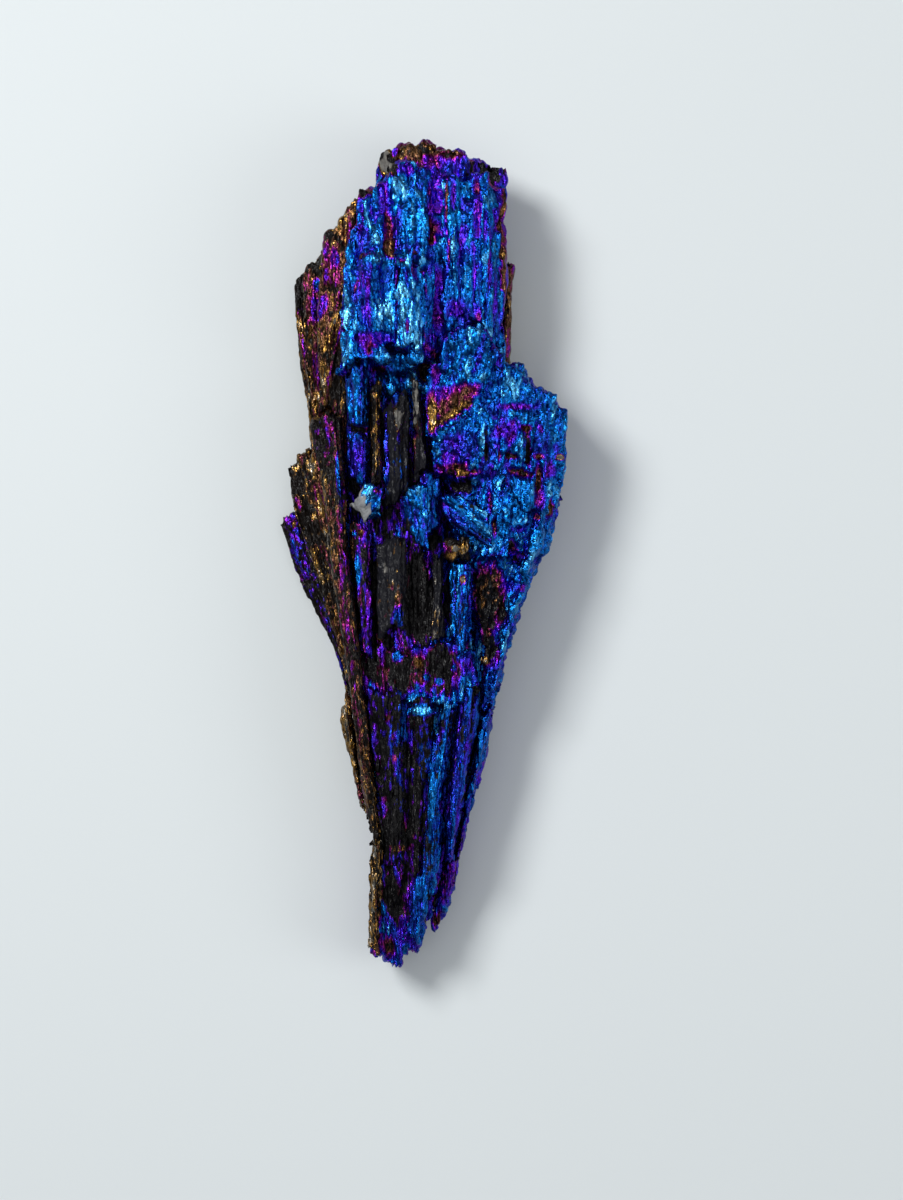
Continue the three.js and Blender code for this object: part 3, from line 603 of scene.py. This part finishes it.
blue = coated_kyanite("blue_coat", roughness=0.24, glitter=0.46, variety=0.2, bare=(0.004, 0.0035, 0.004))
grow(
    "main_fan",
    blue,
    {
        "Fan Point": (-1 * MM, -75 * MM, 0),
        "Fan Reach": 75 * MM,
        "Seed": 3,
        "Splinter Density": 0.12e6,
        "Splinters From": -24 * MM,
        "Film Facing": 0.28,
        "Film Patches": 0.12,
        "Ragged End": 0.7,
    },
    [
        # the violet and bronze rim of the head, its silver corner, and the bronze right edge
        (0.6, 32.3, 4.4, 1.2, 0.38, 0.6, 0),
        (5.0, 31.0, 2.4, 1.1, 0.66, 0.5, 0),
        (2.4, 30.6, 1.6, 1.0, 0.68, 0.6, 0),
        (6.1, 30.2, 0.9, 1.2, 0.62, 0.5, 0),
        (0.9, 31.4, 1.0, 0.7, 0.56, 0.8, 0),
        (-1.6, 30.7, 1.6, 0.7, 0.64, 0.6, 0),
        (-4.9, 28.9, 0.55, 2.4, 0.4, 0.4, 0, -32),
        (-2.9, 31.2, 0.8, 1.4, 0.07, 0.42, 0.2),
        (-1.7, 32.0, 0.4, 0.5, 0.26, 0.8, 0),
        (6.8, 24.0, 0.5, 7.0, 0.36, 0.6, 0),
        # violet, magenta and bronze down the furrows between the bands
        (-3.1, 28.9, 0.55, 1.8, 0.62, 1, -0.1),
        (-2.8, 25.8, 0.22, 1.6, 0.48, 0.95, -0.1),
        (-2.7, 24.3, 0.2, 0.9, 0.36, 0.8, -0.12),
        (0.95, 28.0, 0.6, 1.8, 0.62, 1, -0.1),
        (1.1, 25.9, 0.5, 1.2, 0.53, 0.8, -0.15),
        (0.95, 24.9, 0.4, 0.5, 0.4, 0.7, -0.15),
        (1.8, 28.0, 0.16, 2.6, 0.4, 0.6, -0.2),
        (1.95, 24.0, 0.2, 1.4, 0.52, 0.9, -0.2),
        (2.5, 28.8, 0.3, 1.4, 0.58, 0.9, -0.2),
        (4.3, 27.0, 0.4, 2.2, 0.6, 1, -0.1),
        (4.25, 29.2, 0.25, 0.8, 0.52, 0.8, -0.15),
        (4.1, 22.0, 0.2, 3.6, 0.6, 0.7, -0.25),
        (4.4, 18.8, 0.35, 0.6, 0.56, 1, 0),
        (1.3, 20.2, 0.2, 3.0, 0.62, 0.6, -0.3),
        (3.0, 19.4, 1.6, 1.0, 0.66, 0.7, 0),
        (-4.9, 26.8, 0.24, 1.6, 0.6, 0.9, -0.2),
        (5.5, 23.4, 0.2, 2.6, 0.62, 0.8, -0.15),
        (5.0, 26.2, 0.3, 2.4, 0.62, 0.9, -0.2),
        (5.9, 20.5, 0.3, 2.5, 0.6, 0.8, -0.15),
        (5.1, 19.6, 0.25, 1.4, 0.7, 0.5, -0.3),
        (-4.4, 20.6, 0.2, 2.0, 0.62, 0.9, -0.15),
        (-2.2, 21.8, 0.2, 1.2, 0.46, 0.7, -0.2),
        (-1.2, 18.0, 0.16, 1.0, 0.46, 1, -0.1),
        # the broken edges of the two lower sheets, sunk, with darker, partly bare film painted as shade above
        # each step
        (-3.9, 24.3, 1.1, 0.22, 0.72, 0.6, -0.2),
        (-1.0, 24.4, 1.4, 0.22, 0.72, 0.6, -0.2),
        # pale cyan film painted as highlights where the sheets catch the light
        (-3.7, 23.3, 0.9, 0.4, 0.98, 1, 0.15),
        (-1.4, 23.1, 0.6, 0.7, 1.0, 1, 0.15),
        (0.2, 23.3, 0.5, 0.5, 0.98, 1, 0.15),
        (-0.6, 20.9, 0.5, 0.9, 1.0, 1, 0.1),
        (-0.6, 18.3, 0.5, 0.5, 0.97, 1, 0),
        (-5.8, 18.0, 0.5, 0.9, 0.97, 1, 0),
        (-0.8, 26.4, 1.0, 1.4, 0.93, 1, 0),
        # the rim of the arch over the hollow, and the sheet that hangs under it
        (-4.0, 17.1, 1.7, 0.7, 0.6, 1, 0),
        (-4.1, 16.5, 1.0, 0.35, 0.52, 1, 0),
        (-4.2, 16.0, 0.5, 0.25, 0.44, 1, 0),
        (0.6, 16.0, 0.6, 0.9, 0.56, 1, 0),
        # little film in the hollow, on the dark band across the middle and on the trunk
        (-1.6, 4.0, 5.6, 9.6, 0.6, 0.4, 0),
        (-1.9, 15.3, 2.4, 1.1, 0.9, 1, 1.0),
        (-3.4, 14.8, 1.0, 0.5, 0.48, 0.9, 0),
        (-5.2, 15.1, 1.0, 0.9, 0.9, 1, 0.3),
        (0.2, 14.5, 0.8, 1.0, 0.06, 0.25, -0.6),
        (-2.5, 13.2, 0.5, 0.8, 0.92, 1, 0.5),
        (-5.4, 1.6, 0.3, 0.3, 0.95, 1, 0.2),
        (-4.9, 2.0, 0.25, 0.3, 0.42, 1, 0.2),
        (-2.0, 1.4, 0.3, 1.2, 0.84, 0.9, 0.3),
        (-1.5, -4.0, 5.0, 4.0, 0.5, 0.2, 0),
        (0.0, -3.4, 0.9, 3.4, 0.3, 0.1, 0),
        (-0.8, -9.2, 6.0, 2.4, 0.46, 0.34, 0),
        (-3.5, -6.6, 0.3, 0.4, 0.42, 1, 0.1),
        (-2.0, -8.1, 0.5, 0.5, 0.88, 1, 0.1),
        (0.3, -9.8, 0.35, 0.35, 0.9, 0.9, 0.1),
        (1.3, -10.1, 0.4, 0.3, 0.84, 0.8, 0),
        (-0.4, -10.6, 0.3, 0.4, 0.8, 0.7, 0),
        (2.5, -9.0, 0.3, 0.35, 0.84, 0.7, 0),
        (-0.4, -8.6, 0.4, 0.5, 0.28, 0.8, 0),
        # pale cyan film painted as a highlight along the ledge where the trunk blades broke off
        (0.6, -11.7, 1.6, 0.35, 1.0, 1, 0.15),
        (-0.8, -22.5, 3.6, 9.5, 0.6, 0.4, 0),
        (-2.4, -22.6, 1.9, 1.7, 0.3, 0.06, 0),
        (-1.8, -23.5, 0.5, 0.35, 0.3, 1, 0.1),
        (-2.4, -27.4, 0.9, 2.6, 0.4, 0.2, 0),
        (-0.1, -27.2, 1.1, 2.0, 0.78, 0.8, 0),
        (-1.0, -30.8, 1.6, 1.4, 0.66, 0.75, 0),
        (-0.6, -29.5, 0.4, 0.6, 0.58, 1, 0.1),
        (-1.3, -31.5, 0.5, 0.4, 0.86, 1, 0.1),
        (-2.7, -31.4, 0.7, 1.3, 0.42, 0.45, 0),
        (-3.7, -28.0, 0.45, 4.2, 0.3, 0.8, 0),
    ],
    cell=0.106 * MM,
    stretch=2.6,
    back=0.3,
)

# The lobe on the right: a sheet of fine kyanite fibres that grew over the main fan, and broken knobs and pits
# below it. The sheet's slanted lower edge stood in the shade of the vapour, so its film thins from blue
# through violet to gold.
grow(
    "right_fan",
    blue,
    {
        "Fan Point": (-6 * MM, -50 * MM, 0),
        "Fan Reach": 50 * MM,
        "Lath Width": 0.8 * MM,
        "Lath Length": 4 * MM,
        "Fibre Width": 0.32 * MM,
        "Fibre Length": 0.8 * MM,
        "Groove Depth": 0.22 * MM,
        "Ragged End": 0.6,
        "Seed": 5,
    },
    [
        # the sheet: its violet left margin, and the film that thins to magenta and gold on the slanted facet
        (1.0, 14.6, 0.4, 1.7, 0.6, 1, 0),
        (0.7, 15.5, 0.35, 0.5, 0.48, 1, 0),
        (2.4, 12.9, 2.6, 0.7, 0.58, 1, 0, 12),
        (2.2, 12.3, 2.5, 0.5, 0.48, 0.95, 0, 26),
        (2.2, 11.8, 2.4, 0.6, 0.4, 0.9, 0, 33),
        (2.4, 11.2, 2.5, 0.5, 0.27, 0.9, 0, 35),
        (0.75, 10.9, 0.5, 1.9, 0.27, 0.85, 0),
        (3.5, 10.0, 2.9, 0.8, 0.88, 1, 0, 35),
        # pale cyan film painted as a highlight along the facet's upper edge
        (4.5, 11.3, 0.8, 0.4, 1.0, 1, 0.05, 34),
        (2.6, 8.4, 1.6, 1.5, 0.68, 0.95, 0),
        (2.0, 7.4, 1.0, 0.6, 0.58, 0.95, 0),
        (2.4, 6.9, 1.6, 0.35, 0.47, 0.9, 0),
        (2.8, 6.4, 1.6, 0.35, 0.32, 0.6, -0.05),
        # a sunk gap below the sheet, left nearly bare as painted shade
        (2.6, 5.3, 1.6, 0.6, 0.6, 0.1, -0.4),
        (5.1, 8.8, 0.22, 1.9, 0.64, 0.3, -0.2),
        # the violet hollows and the blue ridges of the lobe
        (7.2, 11.7, 1.8, 0.35, 0.62, 0.95, -0.05),
        (6.8, 9.7, 1.2, 1.4, 0.61, 0.9, -0.1),
        (7.1, 10.4, 0.3, 0.3, 0.54, 1, 0),
        (5.9, 10.0, 0.2, 0.3, 0.54, 1, 0),
        (6.1, 8.3, 0.2, 1.2, 0.44, 0.7, -0.2),
        (7.1, 7.7, 0.7, 0.25, 0.4, 0.5, -0.2),
        (6.4, 8.6, 0.35, 0.7, 0.88, 1, 0.35),
        # pale cyan film painted as a highlight on the knob's crescent
        (7.8, 8.3, 0.3, 1.4, 0.97, 1, 0.5),
        # a sunk strip right of the knob, left nearly bare as its painted shadow
        (8.45, 8.3, 0.26, 1.6, 0.36, 0.2, -0.45),
        (8.3, 10.0, 0.5, 0.3, 0.38, 0.7, -0.1),
        (9.6, 9.0, 0.9, 1.1, 0.76, 1, 0.15),
        (9.4, 9.9, 0.25, 0.4, 0.56, 1, 0),
        (7.9, 6.4, 1.0, 0.35, 0.38, 0.6, -0.35, -12),
        (9.3, 6.0, 0.3, 1.4, 0.4, 0.6, -0.25),
        (9.3, 7.7, 0.5, 0.3, 0.4, 0.6, -0.15),
        (10.2, 6.6, 0.7, 0.9, 0.6, 0.8, -0.1),
        (10.9, 7.7, 0.35, 0.25, 0.02, 1, 0.1),
        # the blue knobs below them, and the bronze spots between
        (7.9, 4.3, 1.1, 1.8, 0.93, 1, 0.35),
        (6.4, 2.9, 0.7, 1.7, 0.9, 1, 0.3),
        (5.35, 4.2, 0.3, 1.3, 0.42, 0.6, -0.3),
        (5.7, 2.1, 0.25, 1.2, 0.44, 0.7, -0.25),
        (9.5, 4.2, 0.5, 1.0, 0.58, 0.85, -0.1),
        (9.1, 3.0, 0.3, 0.3, 0.46, 1, 0),
        (10.3, 3.8, 0.3, 1.0, 0.36, 0.6, -0.1),
        (9.4, 1.0, 0.9, 1.2, 0.88, 1, 0.35),
        (7.8, 2.0, 0.6, 0.4, 0.62, 0.6, -0.2),
        (7.4, 0.2, 0.4, 1.0, 0.54, 0.35, -0.3),
        (5.2, -0.2, 1.0, 0.3, 0.86, 1, 0.25),
        # the dark slope into the hollow, and the knobbed strip beside the trunk
        (5.2, -3.4, 1.9, 3.4, 0.36, 0.34, 0),
        (5.2, -7.6, 0.8, 1.6, 0.5, 0.3, 0),
        (5.3, -6.3, 0.3, 0.3, 0.45, 1, 0.25),
        (4.9, -8.5, 0.3, 0.35, 0.22, 1, 0.15),
        (8.1, -1.2, 0.5, 0.9, 0.9, 1, 0.3),
        (7.0, -3.9, 0.5, 1.0, 0.93, 1, 0.3),
        (6.4, -6.6, 0.35, 1.2, 0.96, 1, 0.2),
        (7.9, -2.7, 0.5, 0.4, 0.56, 0.8, -0.1),
        (5.0, -12.6, 1.0, 3.6, 0.82, 0.9, 0, -10),
    ],
    cell=0.095 * MM,
    back=0.4,
)

# The blade along the left edge, from the shoulder to the trunk, grown on to the main fan. It stands on its
# edge with fine ridges along it, and carries little film: bronze with glints of gold, and violet in its
# hollows.
gold = coated_kyanite(
    "gold_coat",
    roughness=0.24,
    glitter=0.46,
    variety=0.7,
    bare=(0.005, 0.0035, 0.003),
    grain=0.75,
)
ridged = {
    "Lath Width": 0.55 * MM,
    "Lath Length": 12 * MM,
    "Lath Step": 0.16 * MM,
    "Fibre Width": 0.24 * MM,
    "Fibre Length": 1.3 * MM,
    "Fibre Step": 0.06 * MM,
    "Groove Depth": 0.16 * MM,
    "Grit": 0.02 * MM,
    "Film Facing": 0.1,
}
grow(
    "left_shoulder_blade",
    gold,
    {
        **ridged,
        "Fan Point": (-1 * MM, -45 * MM, 0),
        "Fan Reach": 45 * MM,
        "Seed": 7,
        "Film": 0.38,
        "Cover": 0.42,
    },
    [
        (-7.8, 9.4, 1.6, 2.6, 0.56, 0.4, 0),
        (-7.4, 10.0, 0.4, 0.5, 0.5, 0.8, 0),
        (-6.4, 4.0, 0.5, 4.0, 0.6, 0.5, 0),
        (-6.7, 6.6, 0.3, 2.4, 0.8, 0.7, 0),
        (-6.2, -1.0, 0.5, 2.4, 0.56, 0.5, 0),
    ],
)

# Long kyanite blades on the front of the trunk, grown side by side and broken off below the dark band. Those
# on the right faced the vapour and are blue, and those on the left are nearly bare.
grow(
    "trunk_blade_left",
    blue,
    {**ridged, "Seed": 11, "Film": 0.66, "Cover": 0.4, "Film Patches": 0.16, "Splinter Density": 0.1e6},
    [
        (-2.7, -13.0, 0.25, 0.35, 0.48, 1, 0),
        (-2.3, -14.5, 0.2, 0.3, 0.46, 1, 0),
        (-2.2, -16.3, 0.2, 0.35, 0.48, 1, 0),
        (-2.6, -22.2, 1.4, 1.8, 0.3, 0.08, 0),
        (-2.0, -23.5, 0.3, 0.3, 0.25, 0.9, 0),
    ],
)
grow(
    "trunk_blade_middle",
    blue,
    {**ridged, "Seed": 12, "Film": 0.6, "Cover": 0.34, "Film Patches": 0.2},
    # the first patch: pale cyan film painted as a highlight along the blade's broken top
    [(0.0, -12.4, 1.4, 0.5, 1.0, 1, 0), (-0.9, -18.0, 0.12, 4.5, 0.04, 0.8, 0)],
)
grow(
    "trunk_blade_right",
    blue,
    {**ridged, "Seed": 13, "Film": 0.84, "Cover": 0.54},
    [
        # pale cyan film painted as a highlight along the blade's broken top
        (2.0, -12.1, 0.8, 0.35, 0.98, 1, 0),
        (1.0, -14.0, 1.0, 1.2, 0.6, 0.45, 0),
        (-0.6, -28.4, 1.2, 2.4, 0.78, 0.7, 0),
    ],
)
grow("trunk_blade_far_right", blue, {**ridged, "Seed": 14, "Film": 0.76, "Cover": 0.62})

# A thin kyanite blade that grew along the left of the root. Its edge took a thin film, so it glints gold and
# silver.
grow("root_edge_blade", gold, {**ridged, "Seed": 15, "Film": 0.34, "Cover": 0.5, "Film Patches": 0.04})

# Dark blades that grew side by side in the hollow, where little of the vapour reached: glassy grey kyanite
# with smooth sides, a few blue and gold films, spots of silver film painted as glints, and fine straight
# striations.
bare = coated_kyanite("bare_crystal", roughness=0.17, glitter=0.34, variety=0.4, bare=(0.010, 0.010, 0.013))
glassy = {
    "Lath Width": 0.7 * MM,
    "Lath Length": 14 * MM,
    "Lath Step": 0.1 * MM,
    "Fibre Width": 0.28 * MM,
    "Fibre Length": 1.1 * MM,
    "Fibre Step": 0.06 * MM,
    "Groove Depth": 0.14 * MM,
    "Grit": 0.03 * MM,
}
hollow = (
    # node, coat, seed, film, cover, patches
    (
        "hollow_blade_far_left",
        blue,
        21,
        0.84,
        0.7,
        [(-5.3, 9.9, 1.4, 0.35, 0.6, 0.1, -0.7), (-5.2, 7.5, 1.2, 2.0, 0.7, 0.85, 0.1)],
    ),
    ("hollow_blade_left", gold, 22, 0.4, 0.4, [(-3.6, 9.0, 0.1, 3.6, 0.26, 0.7, 0)]),
    (
        "hollow_blade_middle",
        bare,
        23,
        0.74,
        0.3,
        # the second patch: silver film painted as glints
        [(-3.0, 8.0, 0.4, 3.4, 0.7, 0.8, 0), (-1.8, 11.0, 0.6, 1.2, 0.03, 0.5, 0)],
    ),
    (
        "hollow_blade_right",
        bare,
        24,
        0.64,
        0.36,
        # the first patch: silver film painted as glints
        [(-0.6, 12.2, 0.4, 2.2, 0.03, 0.45, 0), (-0.75, 8.6, 0.12, 1.4, 0.28, 0.8, 0)],
    ),
    (
        "lower_blade_far_left",
        blue,
        25,
        0.62,
        0.5,
        [
            (-5.2, -1.3, 0.35, 1.8, 0.88, 0.9, 0),
            (-5.5, 1.6, 0.3, 0.3, 0.96, 1, 0.1),
            (-4.9, 1.8, 0.25, 0.3, 0.32, 1, 0.1),
        ],
    ),
    (
        "lower_blade_left",
        bare,
        26,
        0.3,
        0.24,
        # the first patch: silver film painted as glints
        [(-2.6, -1.0, 0.7, 1.6, 0.03, 0.35, 0), (-1.9, -5.0, 0.8, 1.6, 0.8, 0.5, 0)],
    ),
    ("lower_blade_middle", bare, 27, 0.26, 0.3, ()),
    # its patch: silver film painted as a glint
    ("lower_blade_right", blue, 28, 0.9, 0.66, [(3.2, -2.0, 0.3, 0.4, 0.12, 0.9, 0)]),
)
for node, coat, seed, film, cover, patches in hollow:
    grow(node, coat, {**glassy, "Seed": seed, "Film": film, "Cover": cover}, patches)

# Four short pieces of kyanite that broke off and wedged in the hollow before it was coated. They lie at
# other angles than the blades, so each has a film of its own.
grow(
    "wedged_block",
    blue,
    {**glassy, "Seed": 31, "Film": 0.84, "Cover": 0.72},
    [
        # pale cyan film painted as a highlight along the block's broken top, then a painted glint
        (-0.9, 4.95, 1.5, 0.5, 1.0, 1, 0.1, 10),
        (0.1, 3.2, 0.4, 0.3, 0.98, 1, 0),
        (-1.2, 2.2, 0.3, 0.9, 0.7, 0.3, 0),
    ],
)
pale = coated_kyanite("pale_crystal", roughness=0.2, glitter=0.4, variety=0.6, bare=(0.25, 0.255, 0.26))
grow(
    "pale_chip",
    pale,
    {
        **glassy,
        "Fan Point": (-14 * MM, -12 * MM, 0),
        "Fan Reach": 15 * MM,
        "Seed": 32,
        "Film": 0.96,
        "Cover": 1.0,
    },
    [(-5.1, 3.8, 1.0, 2.0, 0.9, 0, 0.4), (-3.5, 5.0, 0.4, 0.4, 0.5, 1, 0)],
)
grow(
    "slanted_blade",
    blue,
    {
        **glassy,
        "Fan Point": (-30 * MM, 30 * MM, 0),
        "Fan Reach": 36 * MM,
        "Seed": 33,
        "Film": 0.78,
        "Cover": 0.56,
    },
)
grow(
    "spark_crystal",
    gold,
    {**glassy, "Seed": 34, "Film": 0.36, "Film Patches": 0.05, "Cover": 0.2},
    [
        (1.95, 0.35, 0.5, 0.6, 0.52, 1, 0.15),
        (2.7, 0.5, 0.35, 0.4, 0.14, 1, 0.2),
        (3.3, 0.5, 0.35, 0.4, 0.28, 1, 0.1),
        (2.3, -0.1, 0.35, 0.3, 0.27, 1, 0),
    ],
)

# Three thin kyanite blades that grew out from the trunk and splay at the lower left, stacked like plates:
# bronze with gold glints, and violet on the outer one.
splayed = (
    # node, seed, film, cover, patches
    (
        "splayed_blade_inner",
        41,
        0.37,
        0.4,
        [
            (-9.0, 7.2, 0.6, 1.0, 0.24, 0.7, 0, 12),
            (-8.2, 4.0, 0.35, 1.4, 0.24, 0.65, 0, 12),
            (-7.7, 1.2, 0.3, 1.2, 0.12, 0.5, 0, 12),
            (-6.9, -3.0, 0.2, 1.2, 0.22, 0.7, 0, 15),
            (-7.0, -5.8, 0.35, 0.6, 0.27, 0.8, 0, 15),
        ],
    ),
    (
        "splayed_blade_middle",
        42,
        0.36,
        0.4,
        [
            (-10.1, 4.2, 0.3, 0.7, 0.5, 1, 0, 20),
            (-10.3, 7.4, 0.4, 0.6, 0.24, 0.7, 0),
            (-8.6, -0.8, 0.22, 1.8, 0.26, 0.95, 0, 18),
        ],
    ),
    (
        "splayed_blade_outer",
        43,
        0.6,
        0.34,
        [
            (-10.9, 3.0, 0.35, 0.6, 0.54, 1, 0, 30),
            (-10.4, 2.5, 0.25, 0.4, 0.26, 1, 0),
            (-10.4, 0.4, 0.25, 1.6, 0.74, 0.6, 0, 20),
            (-9.1, -1.8, 0.2, 0.5, 0.5, 1, 0, 20),
            (-8.5, -3.5, 0.25, 0.25, 0.52, 1, 0),
            (-8.4, -3.6, 0.5, 3.4, 0.64, 0.45, 0, 24),
        ],
    ),
)
for node, seed, film, cover, patches in splayed:
    grow(
        node,
        gold,
        {
            **ridged,
            "Fan Point": (-2 * MM, -26 * MM, 0),
            "Fan Reach": 26 * MM,
            "Seed": seed,
            "Film": film,
            "Cover": cover,
        },
        patches,
    )

# Three ribbed kyanite blades that grew beside the head at the upper left, each a step lower than the next:
# bronze with gold glints, and violet and magenta in streaks along the ribs.
wings = {
    "left_wing_inner_blade": [
        (-7.0, 25.3, 1.0, 0.9, 0.36, 0.3, 0),
        (-7.0, 23.6, 0.5, 0.9, 0.62, 1, 0),
        (-6.7, 22.1, 0.4, 0.6, 0.46, 0.9, 0),
        (-7.7, 22.2, 0.3, 0.7, 0.62, 0.8, 0),
        (-7.2, 21.1, 0.8, 0.4, 0.36, 0.2, -0.1),
        (-8.0, 19.9, 0.5, 1.2, 0.66, 1, 0, -14),
        (-7.0, 18.6, 0.3, 1.3, 0.25, 1, 0.1, -18),
        (-7.6, 17.2, 0.3, 1.0, 0.36, 0.95, 0, -18),
        (-6.9, 16.4, 0.15, 3.2, 0.66, 1, 0.15, -14),
        (-7.9, 14.2, 0.3, 1.4, 0.25, 1, 0),
        (-6.7, 14.5, 0.7, 2.4, 0.38, 0.25, -0.1),
        (-6.4, 26.4, 0.5, 1.2, 0.26, 0.5, 0, -20),
    ],
    "left_wing_middle_blade": [
        (-8.6, 23.2, 0.8, 0.9, 0.34, 0.3, 0),
        (-8.5, 21.7, 0.4, 0.6, 0.86, 0.9, 0),
        (-8.6, 19.6, 0.7, 1.6, 0.64, 0.6, 0),
        (-8.7, 15.2, 0.3, 1.5, 0.54, 1, 0),
        (-8.5, 12.6, 0.4, 0.6, 0.24, 0.9, 0),
    ],
    "left_wing_outer_blade": [
        (-9.7, 20.6, 0.9, 1.6, 0.6, 0.15, 0),
        (-9.9, 18.5, 0.25, 0.8, 0.24, 1, 0, 12),
        (-9.3, 16.4, 0.4, 1.4, 0.6, 1, 0, 12),
        (-9.0, 12.4, 0.4, 0.7, 0.2, 0.8, 0),
    ],
}
for seed, (node, patches) in enumerate(wings.items(), start=51):
    grow(
        node,
        gold,
        {
            **ridged,
            "Fan Point": (-7.6 * MM, -2 * MM, 0),
            "Fan Reach": 18 * MM,
            "Seed": seed,
            "Film": 0.38,
            "Cover": 0.48,
            "Film Patches": 0.1,
        },
        patches,
    )

# The splinter beside the root, the flake on the trunk's left and the sliver behind the head's right edge:
# thin kyanite blades that grew free at one end. The splinter is blue and violet with a dark point, and the
# other two are bronze and gold.
violet = coated_kyanite("violet_coat", roughness=0.22, glitter=0.44, variety=0.5, bare=(0.005, 0.0035, 0.005))
grow(
    "right_splinter",
    violet,
    {
        **ridged,
        "Fan Point": (2 * MM, -70 * MM, 0),
        "Fan Reach": 70 * MM,
        "Seed": 61,
        "Film": 0.74,
        "Cover": 0.7,
        "Film Patches": 0.08,
    },
    [
        (2.2, -25.5, 1.2, 3.4, 0.6, 0.55, 0, -16),
        (1.2, -29.3, 0.5, 0.9, 0.4, 0.4, 0),
        (4.4, -15.0, 1.2, 5.0, 0.84, 0.85, 0, -8),
    ],
)
grow("left_flake", gold, {**ridged, "Seed": 62, "Film": 0.3, "Cover": 0.5, "Film Patches": 0.1})
grow("right_back_sliver", gold, {**ridged, "Seed": 63, "Film": 0.42, "Cover": 0.6})

bpy.data.collections.remove(chips)

# The stage: a pale paper table top, a window's light from the upper left, a broad soft one overhead and a
# weak one from the right, in a dim room.
table_half = 2
floor_mesh = bpy.data.meshes.new("table_top")
corners = [(x * table_half, y * table_half, 0) for x, y in ((-1, -1), (1, -1), (1, 1), (-1, 1))]
floor_mesh.from_pydata(corners, [], [(0, 1, 2, 3)])
floor = bpy.data.objects.new("table_top", floor_mesh)
bpy.context.scene.collection.objects.link(floor)
paper = bpy.data.materials.new("pale_paper")
paper.use_nodes = True
paper_shader = paper.node_tree.nodes["Principled BSDF"].inputs
paper_shader["Base Color"].default_value = (0.66, 0.70, 0.705, 1)
paper_shader["Roughness"].default_value = 0.9
floor_mesh.materials.append(paper)


def lamp(name, place_mm, side, watts):
    """A square soft light that points at the cluster, with its place and side in millimetres."""
    light = bpy.data.lights.new(name, "AREA")
    light.shape = "SQUARE"
    light.size = side * MM
    light.energy = watts
    holder = bpy.data.objects.new(name, light)
    holder.location = Vector(place_mm) * MM
    holder.rotation_euler = (-holder.location).to_track_quat("-Z", "Y").to_euler()
    bpy.context.scene.collection.objects.link(holder)


lamp("window", (-190, 150, 300), side=120, watts=1.2)
lamp("overhead", (0, 30, 420), side=600, watts=0.8)
lamp("fill", (260, -60, 200), side=160, watts=0.25)
world = bpy.data.worlds.new("room")
world.use_nodes = True
room_light = world.node_tree.nodes["Background"].inputs
room_light["Color"].default_value = (0.75, 0.85, 1.0, 1)
room_light["Strength"].default_value = 0.13
bpy.context.scene.world = world
bpy.context.scene.view_settings.view_transform = "Standard"
